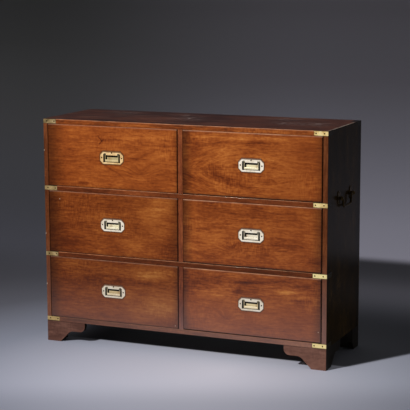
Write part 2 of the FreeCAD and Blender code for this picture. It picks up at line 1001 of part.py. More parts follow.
def save_handles(screws):
    mount = make_mount()
    right = [carve(moved(mount, 0, y, 0), screws.tools) for y in mount_places()]
    left = [carve(moved(mirror_x(mount), 0, y, 0), screws.tools) for y in mount_places()]
    save("carry_mounts_right", right)
    save("carry_mounts_left", left)
    grip = moved(make_grip(), 0, handle_y, 0)
    save("carry_bail_right", [grip])
    save("carry_bail_left", [mirror_x(grip)])


# The case with all that is fixed to it
def save_case(envelope):
    strap_screws = Screws(strap_screw_length)
    drive_strap_screws(strap_screws)
    mount_screws = Screws(mount_screw_length)
    drive_mount_screws(mount_screws)
    back_screws = Screws(back_screw_length)
    drive_back_screws(back_screws)
    drilled = strap_screws.tools + mount_screws.tools + back_screws.tools

    straps = [make_strap(level) for level in strap_levels()] + [make_rear_strap()]
    lets_in = straps + [mirror_x(strap) for strap in straps]
    right_straps = [carve(strap.common(envelope), strap_screws.tools) for strap in straps]
    left_straps = [carve(mirror_x(strap).common(envelope), strap_screws.tools) for strap in straps]
    save("straps_right", right_straps)
    save("straps_left", left_straps)

    levels = rail_levels()
    dividers = [make_divider(row) for row in range(len(ROWS))]
    bearers = [make_bearer(level) for level in levels]
    rear_rails = [make_rear_rail(level) for level in levels]
    runners = [make_runner(level) for level in levels]
    rails = [make_rail(level).cut(dividers + bearers) for level in levels]
    housed = rails + rear_rails + runners

    right_side = carve(make_side().common(envelope), housed)
    save("side_right", [carve(right_side, lets_in + drilled)])
    save("side_left", [carve(mirror_x(right_side), lets_in + drilled)])
    save("top_board", [carve(make_top().common(envelope), dividers + lets_in + drilled)])
    save("bottom_board", [carve(make_bottom(), dividers + lets_in + drilled)])
    for name, rail in zip(("rail_lower", "rail_upper"), rails):
        save(name, [carve(rail, lets_in + drilled)])
    save("dividers", dividers)
    save("rear_rails", [carve(rail.cut(bearers), drilled) for rail in rear_rails])
    save("runners", runners + [mirror_x(runner) for runner in runners])
    save("centre_bearers", bearers)
    save("drawer_guides", [make_guide(row) for row in range(len(ROWS))])
    stops = [stop for row in range(len(ROWS)) for column in COLUMNS for stop in make_stops(row, column)]
    save("drawer_stops", stops)
    save("back_boards", [carve(board, lets_in + drilled) for board in make_back_boards()])
    save("case_screws", strap_screws.kept + mount_screws.kept + back_screws.kept)
    save_handles(mount_screws)


os.makedirs("parts", exist_ok=True)
outside = make_envelope()
save_case(outside)
save_feet(outside)
save_drawers()
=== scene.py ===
import math
import bpy
from mathutils import Matrix, Vector


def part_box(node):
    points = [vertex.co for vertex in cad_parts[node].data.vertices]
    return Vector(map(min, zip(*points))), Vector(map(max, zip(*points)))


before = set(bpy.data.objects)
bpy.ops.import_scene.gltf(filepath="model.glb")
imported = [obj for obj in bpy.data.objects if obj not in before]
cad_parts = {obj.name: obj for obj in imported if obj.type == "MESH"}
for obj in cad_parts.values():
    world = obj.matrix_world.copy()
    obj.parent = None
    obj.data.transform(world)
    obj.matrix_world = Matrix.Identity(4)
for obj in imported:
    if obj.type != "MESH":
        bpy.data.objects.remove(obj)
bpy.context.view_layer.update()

# The camera: a long lens at eye height, well off to the right of the chest's middle, which looks a little
# down on the chest.
EYE = Vector((2.3543, -5.4041, 1.5699))
EYE_YAW = 0.4082
EYE_PITCH = 0.1669
EYE_ROLL = -0.0035
LENS_MM = 128.95
SENSOR_MM = 36.0

level_reach = math.cos(EYE_PITCH)
ahead = Vector((-math.sin(EYE_YAW) * level_reach, math.cos(EYE_YAW) * level_reach, -math.sin(EYE_PITCH)))
level_right = ahead.cross(Vector((0, 0, 1))).normalized()
level_up = level_right.cross(ahead)
right = level_right * math.cos(EYE_ROLL) + level_up * math.sin(EYE_ROLL)
up = level_up * math.cos(EYE_ROLL) - level_right * math.sin(EYE_ROLL)
lens = bpy.data.cameras.new("lens")
lens.lens = LENS_MM
lens.sensor_width = SENSOR_MM
camera = bpy.data.objects.new("camera", lens)
camera.matrix_world = Matrix.Translation(EYE) @ Matrix((right, up, -ahead)).transposed().to_4x4()
bpy.context.scene.collection.objects.link(camera)
bpy.context.scene.camera = camera
bpy.context.scene.view_settings.view_transform = "Standard"


# The floor: a wide sheet of pale matt paper, with a painted pool of light before the chest that fades to
# dark grey. A painted beam from the front right keeps it paler behind the chest on that side. Paper that
# the chest keeps the light from is drawn darker, a painted shadow, as in a large dim room.
FLOOR_REACH = 60.0
POOL_X = 0.25
POOL_Y = -0.35
POOL_REACH = 5.0
PAPER_NEAR = 0.5
PAPER_FAR = 1.7
PAPER_REACH = 40.0
BEAM_X = 2.35
BEAM_Y = -5.4
BEAM_EDGE = (-0.58, -0.33)
DIM_TURN = 0.4082
DIM_EDGE = (-0.89464, -0.54464)
DIM_SHARE = 0.24
KEY_PLACE = Vector((-1.22, -3.1, 2.77))
SHADE_LEFT = (0.185, 0.26)
SHADE_RIGHT = (0.624, 0.640)
SHADE_NEAR = (-0.128, -0.108)
SHADE_FAR = (1.79, 2.01)
SHADE_SHARE = 0.79
SPILL_Y = 1.07
SPILL_REACH = 0.32
SPILL_SHARE = 0.56
SHORTEST = 0.1


def paint(red, green, blue):
    """A colour for a node, from steps of 0 to 255."""
    shares = [channel / 255 for channel in (red, green, blue)]
    return [s / 12.92 if s <= 0.04045 else ((s + 0.055) / 1.055) ** 2.4 for s in shares] + [1]


class Value:
    """A number that varies over a surface. Sums of Values add nodes."""

    def __init__(self, nodes, socket):
        self.nodes = nodes
        self.socket = socket

    def __add__(self, other):
        return self.nodes.sum("ADD", self, other)

    def __sub__(self, other):
        return self.nodes.sum("SUBTRACT", self, other)

    def __rsub__(self, other):
        return self.nodes.sum("SUBTRACT", other, self)

    def __mul__(self, other):
        return self.nodes.sum("MULTIPLY", self, other)

    def __truediv__(self, other):
        return self.nodes.sum("DIVIDE", self, other)

    def __pow__(self, other):
        return self.nodes.sum("POWER", self, other)

    def __abs__(self):
        return self.nodes.sum("ABSOLUTE", self)

    __radd__ = __add__
    __rmul__ = __mul__

    def at_most(self, other):
        return self.nodes.sum("MINIMUM", self, other)

    def at_least(self, other):
        return self.nodes.sum("MAXIMUM", self, other)

    def rise(self, low, high):
        """0 below low, 1 above high, and a smooth rise between. A value that is a pair holds the two."""
        sockets = {"Value": self, "From Min": low, "From Max": high}
        made = self.nodes.node("ShaderNodeMapRange", {"interpolation_type": "SMOOTHSTEP"}, sockets)
        return Value(self.nodes, made.outputs["Result"])

    def bell(self):
        """1 where the value, a squared distance, is 0, and falling softly to 0 past 1."""
        return self.nodes.sum("EXPONENT", self * -1)


class Nodes:
    """A node tree, and the one way in which nodes are added to it."""

    def __init__(self, tree):
        self.tree = tree

    def node(self, kind, settings=(), sockets=()):
        """Any node: first its settings, a ramp's stops among them, then its sockets' values or links."""
        made = self.tree.nodes.new(kind)
        for setting, given in dict(settings).items():
            if setting != "stops":
                setattr(made, setting, given)
                continue
            band = made.color_ramp.elements
            while len(band) < len(given):
                band.new(1)
            for stop, (position, colour) in zip(band, given):
                stop.position = position
                stop.color = colour
        for socket, given in dict(sockets).items():
            self.join(given, made.inputs[socket])
        return made

    def join(self, given, socket):
        """Links a socket to a Value or another socket, or sets it to a plain value."""
        given = given.socket if isinstance(given, Value) else given
        if isinstance(given, bpy.types.NodeSocket):
            self.tree.links.new(given, socket)
        else:
            socket.default_value = given

    def sum(self, operation, *terms):
        made = self.node("ShaderNodeMath", {"operation": operation}, enumerate(terms))
        return Value(self, made.outputs["Value"])

    def apart(self, vector):
        split = self.node("ShaderNodeSeparateXYZ", (), {"Vector": vector})
        return [Value(self, split.outputs[axis]) for axis in "XYZ"]


class Finish(Nodes):
    """A material in the making. x, y and z are the place on the piece, in metres."""

    def __init__(self, title, **steady):
        self.material = bpy.data.materials.new(title)
        self.material.use_nodes = True
        super().__init__(self.material.node_tree)
        self.shader = self.tree.nodes["Principled BSDF"]
        self.set(**steady)
        self.x, self.y, self.z = self.apart(self.node("ShaderNodeTexCoord").outputs["Object"])

    def set(self, **sockets):
        """Sets or links the shader's own sockets, with _ for each space in their names."""
        for socket, given in sockets.items():
            self.join(given, self.shader.inputs[socket.replace("_", " ")])

    def place(self, x, y, z):
        return self.node("ShaderNodeCombineXYZ", (), {"X": x, "Y": y, "Z": z}).outputs["Vector"]

    def noise(self, place, per_metre, detail=1.0):
        """Soft noise about 0, from -1 to 1, with so many waves to the metre along each axis."""
        stretched = self.node("ShaderNodeVectorMath", {"operation": "MULTIPLY"}, {0: place, 1: per_metre})
        sockets = {"Vector": stretched.outputs["Vector"], "Scale": 1.0, "Detail": detail}
        return Value(self, self.node("ShaderNodeTexNoise", (), sockets).outputs["Fac"]) * 2 - 1

    def ramp(self, value, stops):
        stops = [(position, paint(*colour)) for position, colour in stops]
        return self.node("ShaderNodeValToRGB", {"stops": stops}, {"Fac": value}).outputs["Color"]

    def mix(self, share, first, second):
        made = self.node("ShaderNodeMix", {"data_type": "RGBA", "clamp_factor": True})
        for given, socket in ((share, made.inputs[0]), (first, made.inputs[6]), (second, made.inputs[7])):
            self.join(given, socket)
        return made.outputs[2]

    def relief(self, height, depth, strength):
        sockets = {"Height": height, "Distance": depth, "Strength": strength}
        self.set(Normal=self.node("ShaderNodeBump", (), sockets).outputs["Normal"])


def slope_from(made, x, y):
    """Metres to the right for each metre back, as seen from a place before the chest."""
    return (made.x - x) / (made.y - y).at_least(SHORTEST)


bpy.ops.mesh.primitive_plane_add(size=2 * FLOOR_REACH)
floor = bpy.context.object
floor.name = "floor"
paper = Finish("floor_paper", Roughness=0.85, Specular_IOR_Level=0.15)
pool = ((paper.x - POOL_X) ** 2 + (paper.y - POOL_Y) ** 2) ** 0.5
front_paper = paper.ramp(
    pool / POOL_REACH,
    [
        (0.0, (203, 203, 215)),
        (0.12, (167, 169, 183)),
        (0.2, (128, 131, 145)),
        (0.3, (90, 90, 99)),
        (0.4, (72, 71, 78)),
        (0.5, (60, 59, 64)),
        (0.7, (34, 34, 37)),
    ],
)
away = (paper.y - PAPER_NEAR) / PAPER_REACH
right_paper = paper.ramp(
    away,
    [
        (0.0, (158, 156, 171)),
        (0.06, (161, 159, 175)),
        (0.16, (139, 137, 151)),
        (0.25, (124, 121, 133)),
        (0.31, (117, 113, 125)),
        (0.4, (113, 110, 121)),
        (0.9, (103, 99, 110)),
    ],
)
left_paper = paper.ramp(
    away,
    [
        (0.0, (80, 80, 89)),
        (0.03, (82, 82, 92)),
        (0.06, (85, 85, 93)),
        (0.1, (90, 90, 97)),
        (0.16, (91, 90, 94)),
        (0.26, (84, 84, 87)),
        (0.34, (79, 79, 81)),
        (0.46, (71, 71, 72)),
        (0.7, (64, 64, 65)),
        (0.95, (60, 60, 61)),
    ],
)
beam = slope_from(paper, BEAM_X, BEAM_Y).rise(*BEAM_EDGE)
back_paper = paper.mix(beam, left_paper, right_paper)
lit = paper.mix(paper.y.rise(PAPER_NEAR, PAPER_FAR), front_paper, back_paper)

# Painted shade: the paper is a little dimmer on the near side of a line that runs askew to the chest.
unlit = paint(0, 0, 0)
back_from_dim = paper.y * math.cos(DIM_TURN) - paper.x * math.sin(DIM_TURN)
lit = paper.mix((1 - back_from_dim.rise(*DIM_EDGE)) * DIM_SHARE, lit, unlit)

# The painted shadow's sides run straight away from the lamp, and some painted light spills across it.
fan = slope_from(paper, KEY_PLACE.x, KEY_PLACE.y)
across_shade = fan.rise(*SHADE_LEFT) * (1 - fan.rise(*SHADE_RIGHT))
along_shade = paper.y.rise(*SHADE_NEAR) * (1 - paper.y.rise(*SHADE_FAR))
depth = SHADE_SHARE - (((paper.y - SPILL_Y) / SPILL_REACH) ** 2).bell() * SPILL_SHARE
paper.set(Base_Color=paper.mix(across_shade * along_shade * depth, lit, unlit))
floor.data.materials.append(paper.material)


# The light: one small soft lamp high at the left, before the chest, and the dim air of a large grey room.
# A low pale wall behind the chest's left corner keeps its back from going black.
KEY_AIM = Vector((0.0, -0.1, 0.42))
KEY_SIZE = 0.15
KEY_WATTS = 165.0
ROOM_AIR = 0.25
ROOM_GREY = paint(62, 61, 67)
WALL_LIGHT = 0.7
WALL_X = -0.68
WALL_Y = 0.73
WALL_ENDS = (0.4, 0.9)
WALL_TOP = (0.1, 0.5)

key = bpy.data.lights.new("key", "AREA")
key.shape = "DISK"
key.size = KEY_SIZE
key.energy = KEY_WATTS
key_object = bpy.data.objects.new("key", key)
key_object.location = KEY_PLACE
key_object.rotation_euler = (KEY_AIM - KEY_PLACE).to_track_quat("-Z", "Y").to_euler()
bpy.context.scene.collection.objects.link(key_object)

room = bpy.data.worlds.new("room")
room.use_nodes = True
bpy.context.scene.world = room
air = Nodes(room.node_tree)
toward_x, toward_y, toward_z = air.apart(air.node("ShaderNodeTexCoord").outputs["Generated"])
wall = (toward_x * WALL_X + toward_y * WALL_Y).rise(*WALL_ENDS) * (1 - abs(toward_z).rise(*WALL_TOP))
glow = {"Color": paint(255, 255, 255), "Strength": wall * WALL_LIGHT + ROOM_AIR}
fill = air.node("ShaderNodeBackground", (), glow)
seen = air.node("ShaderNodeBackground", (), {"Color": ROOM_GREY})
ray = air.node("ShaderNodeLightPath")
sharp = air.sum("MAXIMUM", ray.outputs["Is Camera Ray"], ray.outputs["Is Glossy Ray"])
sharp = sharp.at_least(ray.outputs["Is Transmission Ray"])
choice = air.node("ShaderNodeMixShader", (), {0: sharp, 1: fill.outputs[0], 2: seen.outputs[0]})
air.join(choice.outputs[0], room.node_tree.nodes["World Output"].inputs["Surface"])


# The top and bottom of the case: solid mahogany boards, mitred to the sides and french polished. The top
# is nearly black with old polish, with pale rings and scuffs, and the front edges have stayed red-brown.
# The bottom board's front edge is the rail under the lowest drawers.
FRONT_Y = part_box("side_right")[0].y
BACK_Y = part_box("side_right")[1].y
END_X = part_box("side_right")[1].x
TOP_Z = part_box("top_board")[1].z
FRONT_SKIN = (FRONT_Y + 0.0004, FRONT_Y + 0.0016)
SWAY = 0.020
KINK = 0.004
WOBBLE = 0.010
PORE_DEPTH = 0.0001
KNOT_LONG = 1.6
ARCH_OPENING = 0.6
ARCH_WIDE = 0.085
ARCH_LONG = 0.26
ARCH_MIDDLE = 0.14
HEART = 0.012
REFLECTION_LOW = 0.03
REFLECTION_HIGH = 0.28
HIGHLIGHT_REACH = 0.005
END_HIGHLIGHT_REACH = 0.011
STRAP_DIRT_Y = (BACK_Y - 0.085, BACK_Y - 0.068)
STRAP_DIRT_X = (END_X - 0.030, END_X - 0.020)
RED_FADES_X = (-0.5, 0.2)
BOTTOM_PALER_X = (0.1, 0.6)
BOARD_SHEEN = (1.0, 0.88, 0.74, 1.0)
HIGHLIGHT_PALE = (205, 150, 112)
END_HIGHLIGHT_GREY = (178, 164, 148)
FLOOR_REFLECTION_TINT = (132, 106, 102)
WEAR_BROWN = (112, 82, 70)
STREAK_DARK = (34, 18, 10)
STREAK_RED = (104, 54, 26)
STAIN_GREY = (158, 140, 132)
STRAP_DIRT = (14, 11, 9)


def tone_scale(*colours, stops=(0.0, 0.32, 0.5, 0.68, 1.0)):
    """A material's colours, from those of its darkest marks, at 0, to those of its lightest, at 1."""
    return list(zip(stops, colours))


BAND_TONES = tone_scale((56, 22, 7), (98, 44, 14), (126, 61, 21), (150, 80, 31), (196, 118, 56))
EDGE_TONES = tone_scale((44, 20, 10), (74, 38, 20), (92, 49, 27), (114, 65, 37), (152, 95, 58))
TOP_TONES = tone_scale((36, 15, 7), (58, 26, 13), (74, 35, 19), (94, 48, 27), (132, 82, 54))


def polished(title, roughness, coat, ior=1.5):
    return Finish(title, IOR=ior, Roughness=roughness, Coat_Weight=coat, Coat_Roughness=0.09)


def figure(wood, along, across, through, seed, knots=(), clouds=(), eye=None):
    """A board's tone, about 0.5, with its grain lines, ribbons, ripples and pores, and the plain place that
    other marks go by. A knot is (along, across, size, swirl) and a cloud (along, across, reach, height,
    slope, lift). Round an eye, (along, across), the lines close like a cathedral's arch, open towards more
    along."""
    free = wood.place(along, across, through + seed)
    wobble = wood.noise(free, (14.0, 20.0, 9.0), 2.0) * WOBBLE
    bent = across + wood.noise(free, (1.7, 3.0, 2.0)) * SWAY + wood.noise(free, (7.0, 12.0, 7.0)) * KINK
    layer = through + seed
    marks = 0
    if eye:
        aside, apex = abs(bent - eye[1]), (along - eye[0]) * ARCH_OPENING
        arch = (apex ** 2 + aside ** 2) ** 0.5 - apex
        beyond = (along - eye[0] - ARCH_MIDDLE) / ARCH_LONG
        near = (((bent - eye[1]) / ARCH_WIDE) ** 2 + beyond ** 2).bell()
        layer = layer + (bent - eye[1]).rise(-HEART, HEART) * 0.4
        bent = aside + (arch - aside) * near
    for at, level, size, swirl in knots:
        bell = (((along - at) / (size * KNOT_LONG)) ** 2 + ((across - level) / size) ** 2).bell()
        bent = bent + bell * swirl * size
        marks = bell ** 3 * -0.12 + marks
    grain = wood.place(along, bent, layer)
    broad = wood.noise(grain, (2.6, 16.0, 9.0), 2.0)
    ribbon = wood.noise(grain, (11.0, 105.0, 40.0), 2.0)
    lines = wood.noise(grain, (24.0, 270.0, 60.0), 1.0)
    mottle = wood.noise(free, (8.0, 12.0, 8.0), 3.0)
    flecks = wood.noise(free, (70.0, 130.0, 70.0), 2.0)
    ripple = wood.noise(free, (180.0, 40.0, 40.0), 1.0)
    ripple = ripple * wood.noise(free, (5.0, 8.0, 5.0)).rise(-0.1, 0.35)
    pores = wood.noise(grain, (45.0, 900.0, 300.0), 0.0)
    for at, level, reach, height, slope, lift in clouds:
        aside = across - level - (along - at) * slope + wobble
        marks = (((along - at + wobble * 2) / reach) ** 2 + (aside / height) ** 2).bell() * lift + marks
    tone = 0.5 + broad * 0.13 + ribbon * 0.15 + lines * 0.13 + mottle * 0.20
    tone = tone + flecks * 0.14 + ripple * 0.15
    wood.relief(lines * 0.5 - pores.rise(0.25, 0.6), PORE_DEPTH, 0.5)
    return tone + marks - pores.rise(0.32, 0.6) * 0.14, free


def front_face(wood):
    """1 on the front of a case piece, 0 behind it."""
    return 1 - wood.y.rise(*FRONT_SKIN)


def arris_highlight(wood, colour, distance, free, reach, share, pale=HIGHLIGHT_PALE):
    """A painted highlight along an arris that lies at distance 0, where the edge would catch the lamp's
    light.
    """
    broken = wood.noise(free, (30.0, 60.0, 60.0), 2.0)
    highlight_share = (1 - distance.rise(0, reach)) * (0.55 + broken * 0.9) * share
    return wood.mix(highlight_share.at_most(0.75), colour, paint(*pale))


def floor_reflection(wood, colour, share, high=REFLECTION_HIGH):
    """A painted reflection of the pale floor in the polish: paler and greyer towards the floor."""
    return wood.mix((1 - wood.z.rise(REFLECTION_LOW, high)) * share, colour, paint(*FLOOR_REFLECTION_TINT))


def dress(node, finish):
    """Gives a piece its finish, and nothing else."""
    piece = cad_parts[node]
    piece.data.materials.clear()
    piece.data.materials.append(finish.material)


# Darker and lighter stretches of the top board, (x, reach, lift), and where things have stood on it:
# (x, y, size along x, size along y) of the pale rings and scuffs.
PATCHES = [(-0.365, 0.05, -0.13), (-0.163, 0.08, 0.10), (0.010, 0.09, -0.14), (0.200, 0.10, 0.04)]
STAINS = [
    (-0.060, 0.00, 0.060, 0.06),
    (0.405, -0.01, 0.075, 0.05),
    (0.330, 0.13, 0.050, 0.04),
    (0.500, 0.00, 0.040, 0.06),
    (-0.400, 0.13, 0.060, 0.03),
    (-0.130, 0.12, 0.050, 0.03),
]


def aged_top(wood, colour, free, behind):
    """The top's age: wear, dark and red streaks, stains and dirt by its rear strap, and a painted highlight
    along its right end.
    """
    scuffs = wood.noise(free, (50.0, 60.0, 60.0), 3.0).rise(-0.2, 0.5)
    wear = wood.noise(free, (7.0, 22.0, 20.0), 4.0).rise(0.05, 0.5) * (wood.x * 0.3 + 0.5)
    colour = wood.mix(wear * behind, colour, paint(*WEAR_BROWN))
    streaks = wood.noise(free, (2.2, 13.0, 13.0), 3.0)
    dark = (0 - streaks).rise(0.0, 0.4) * 0.45
    red = streaks.rise(0.0, 0.4) * (1 - wood.x.rise(*RED_FADES_X)) * 0.5
    colour = wood.mix(dark * behind, colour, paint(*STREAK_DARK))
    colour = wood.mix(red * behind, colour, paint(*STREAK_RED))
    for x, y, wide, deep in STAINS:
        stain = (((wood.x - x) / wide) ** 2 + ((wood.y - y) / deep) ** 2).bell()
        colour = wood.mix(stain * scuffs * 0.6, colour, paint(*STAIN_GREY))
    end_arris = (END_X - wood.x) + (TOP_Z - wood.z)
    by_strap = wood.y.rise(*STRAP_DIRT_Y)
    # A painted highlight along the right end's arris, fading by the rear strap.
    colour = arris_highlight(wood, colour, end_arris, free, END_HIGHLIGHT_REACH, (1 - by_strap) * 1.1, END_HIGHLIGHT_GREY)
    return wood.mix(by_strap * wood.x.rise(*STRAP_DIRT_X) * 0.9, colour, paint(*STRAP_DIRT))


# Each board: its name, its seed, the tones of its front, and the share of painted highlight along its front
# arris.
LEVEL_BOARDS = [("top_board", 3.0, BAND_TONES, 0.5), ("bottom_board", 11.0, EDGE_TONES, 0.15)]
for node, seed, front_tones, highlight_share in LEVEL_BOARDS:
    wood = polished(node, 0.34, 0.0, 1.34)
    wood.set(Specular_Tint=BOARD_SHEEN)
    tone, free = figure(wood, wood.x, wood.y + wood.z, wood.z, seed)
    tone = 0.5 + (tone - 0.5) * 1.5 + wood.x * 0.16
    if node == "bottom_board":
        tone = tone + wood.x.rise(*BOTTOM_PALER_X) * 0.26
    for x, reach, lift in PATCHES if node == "top_board" else ():
        tone = tone + (((wood.x - x) / reach) ** 2).bell() * lift
    on_front = front_face(wood)
    # The front is paler and greyer low down, a painted reflection of the floor.
    front = floor_reflection(wood, wood.ramp(tone, front_tones), 0.4 + wood.x * 0.34)
    colour = wood.mix(on_front, wood.ramp(tone, TOP_TONES), front)
    if node == "top_board":
        colour = aged_top(wood, colour, free, 1 - on_front)
    # A painted highlight along the front arris.
    front_arris = abs(wood.y - FRONT_Y) + abs(wood.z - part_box(node)[1].z)
    wood.set(Base_Color=arris_highlight(wood, colour, front_arris, free, HIGHLIGHT_REACH, highlight_share))
    dress(node, wood)


# The sides of the case: solid mahogany boards with upright grain, mitred to the top and bottom. Outside
# they are nearly black: dark old polish and painted shade, as the right end gets none of the lamp's light,
# and the left end has the same colour. The rear arris has a painted highlight, and the inner edge of each
# front has painted shade beside the drawer gaps. The left one is nicked.
INNER_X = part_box("side_right")[0].x
SHADED_END_TONES = tone_scale((17, 12, 4), (30, 21, 7), (39, 28, 10), (51, 36, 13), (77, 56, 26))
JOINT_AND_GAP_SHADE = (24, 12, 8)
GAP_SHADE_REACH = (0.0006, 0.0030)
REAR_HIGHLIGHT_REACH = 0.010
REAR_DIRT = 0.026
REAR_DIRT_REACH = 0.010
NICKS = (0.798, 0.453, 0.241)
NICK_SQUARED = 0.000012
SIDE_REFLECTION_HIGH = 0.5
SIDE_SHEEN = (1.0, 0.94, 0.42, 1.0)
REAR_BLACK = (6, 4, 2)
REAR_HIGHLIGHT_PALE = (110, 96, 84)
NICK_PALE = (190, 165, 145)

for node, seed, reflection_share in (("side_left", 21.0, 0.20), ("side_right", 27.0, 0.62)):
    wood = polished(node, 0.2, 0.0, 1.14)
    wood.set(Specular_Tint=SIDE_SHEEN)
    tone, free = figure(wood, wood.z, wood.y + wood.x, wood.x, seed)
    # Dark old polish with painted shade: the outside is drawn nearly black.
    panel = wood.ramp(0.53 + (tone - 0.5) * 2.2, SHADED_END_TONES)
    edge = wood.ramp(tone + wood.x.rise(0, END_X) * 0.06, EDGE_TONES)
    # The front edge is paler and greyer low down, a painted reflection of the floor.
    edge = floor_reflection(wood, edge, reflection_share, SIDE_REFLECTION_HIGH)
    # Painted shade beside the drawer gaps, along the inner edge of the side's front.
    gap_shade = 1 - (abs(wood.x) - INNER_X).rise(*GAP_SHADE_REACH)
    colour = wood.mix(front_face(wood), panel, wood.mix(gap_shade * 0.75, edge, paint(*JOINT_AND_GAP_SHADE)))
    rear_arris = (BACK_Y - wood.y) + (END_X - abs(wood.x))
    dirt = (((rear_arris - REAR_DIRT) / REAR_DIRT_REACH) ** 2).bell() * 0.7
    colour = wood.mix(dirt, colour, paint(*REAR_BLACK))
    # A painted highlight along the rear arris.
    colour = arris_highlight(wood, colour, rear_arris, free, REAR_HIGHLIGHT_REACH, 0.5, REAR_HIGHLIGHT_PALE)
    if node == "side_left":
        corner = (wood.y - FRONT_Y) + (wood.x + END_X)
        for z in NICKS:
            nick = 1 - (((wood.z - z) * 0.6) ** 2 + corner ** 2).rise(0.0, NICK_SQUARED)
            colour = wood.mix(nick, colour, paint(*NICK_PALE))
    wood.set(Base_Color=colour)
    dress(node, wood)


# The front frame: two mahogany rails housed in the sides, and three short dividers tenoned between them.
# The upper edges of the rails have a painted highlight.
RAIL_TONES = tone_scale((38, 14, 6), (68, 29, 12), (91, 41, 18), (118, 58, 27), (164, 94, 50))
RAIL_HIGHLIGHT_REACH = 0.0035
PALE_STRETCH_X = -0.19
PALE_STRETCH_REACH = 0.11
RAIL_TURNS_X = (-0.1, 0.1)
DIVIDER_PALER_Z = (0.15, 0.8)
RAIL_SHEEN = (1.0, 0.88, 0.6, 1.0)
RAIL_HIGHLIGHT_PALE = (180, 112, 74)

for node, seed in (("rail_lower", 33.0), ("rail_upper", 37.0)):
    wood = polished(node, 0.3, 0.1, 1.4)
    wood.set(Specular_Tint=RAIL_SHEEN)
    tone, free = figure(wood, wood.x, wood.z, wood.y, seed)
    to_the_right = wood.x.rise(*RAIL_TURNS_X)
    if node == "rail_upper":
        stretch = (((wood.x - PALE_STRETCH_X) / PALE_STRETCH_REACH) ** 2).bell()
        tone = tone + to_the_right * 0.10 + stretch * 0.22
    else:
        tone = tone - 0.05
    # A painted highlight along the rail's upper arris, stronger at the left.
    arris = abs(wood.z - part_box(node)[1].z)
    share = 1.2 - to_the_right * 0.6
    colour = arris_highlight(wood, wood.ramp(tone, RAIL_TONES), arris, free, RAIL_HIGHLIGHT_REACH, share, RAIL_HIGHLIGHT_PALE)
    wood.set(Base_Color=colour)
    dress(node, wood)

wood = polished("dividers", 0.3, 0.3)
tone, free = figure(wood, wood.z, wood.x, wood.y, 41.0)
tone = tone + wood.z.rise(*DIVIDER_PALER_Z) * 0.2 + 0.02
# The dividers are paler and greyer low down, a painted reflection of the floor.
wood.set(Base_Color=floor_reflection(wood, wood.ramp(tone, RAIL_TONES), 0.45))
dress("dividers", wood)


# The feet: mahogany brackets, shaped in front and plain behind, mitred at the corner and glued to a
# block. Their grain runs level, round the corner, so each is coloured along the sum of x and y. A dark
# joint shows above them.
FOOT_AND_REFLECTION_TONES = tone_scale((54, 32, 24), (82, 52, 42), (102, 68, 56), (122, 84, 70), (154, 114, 98))
FOOT_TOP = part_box("foot_front_left")[1].z
FOOT_JOINT = (FOOT_TOP - 0.0035, FOOT_TOP - 0.001)
FOOT_SEEDS = {"front_left": 51.0, "front_right": 53.0, "rear_left": 57.0, "rear_right": 59.0}

for corner, seed in FOOT_SEEDS.items():
    node = f"foot_{corner}"
    wood = polished(node, 0.45, 0.0, 1.3)
    tone, free = figure(wood, wood.x + wood.y, wood.z, wood.y, seed)
    # Painted shade: the feet's backs and ends take the dark colour of the shaded sides.
    shaded_back_and_end = wood.ramp(tone - 0.3, SHADED_END_TONES)
    # The fronts' greyed tones hold a painted reflection of the floor.
    front = wood.ramp(tone + wood.x * 0.15 - 0.03, FOOT_AND_REFLECTION_TONES)
    front = wood.mix(wood.z.rise(*FOOT_JOINT) * 0.55, front, paint(*JOINT_AND_GAP_SHADE))
    wood.set(Base_Color=wood.mix(front_face(wood), shaded_back_and_end, front))
    dress(node, wood)


# The drawer fronts: one mahogany board each, cut out for its pull and lapped over its lining's dovetails.
# They are french polished and drawn darker towards their edges, with painted shade beside the gaps at
# their right and foot and round the pull.
DRAWER_TONES = tone_scale((58, 21, 6), (108, 47, 14), (140, 69, 24), (168, 93, 37), (212, 140, 68))
RAGGED = 0.012
LEFT_DARK_START = -0.004
RIGHT_DARK_START = -0.006
HEAD_DARK = (-0.006, 0.014)
FOOT_DARK = (-0.006, 0.020)
RIGHT_GAP_SHADE = (0.0008, 0.0058)
FOOT_GAP_SHADE = (0.0008, 0.0048)
PLATE_GAP_SHADE = (0.0003, 0.0035)
PLATE_CORNER = 0.0135
WORN_ARRIS = (0.002, 0.006)
SPOT_SQUARED = (0.000002, 0.000008)
CALM_BELOW = (-0.03, 0.06)
CALM_RIGHT = (0.08, 0.2)
FRONT_REFLECTION_HIGH = 0.31
FRONT_DARKENING = (20, 7, 2)
SPOT_PALE = (180, 150, 126)
FRONT_ROUGHNESS = 0.27
FRONT_COAT = 0.6
EDGE_DARK = 0.4
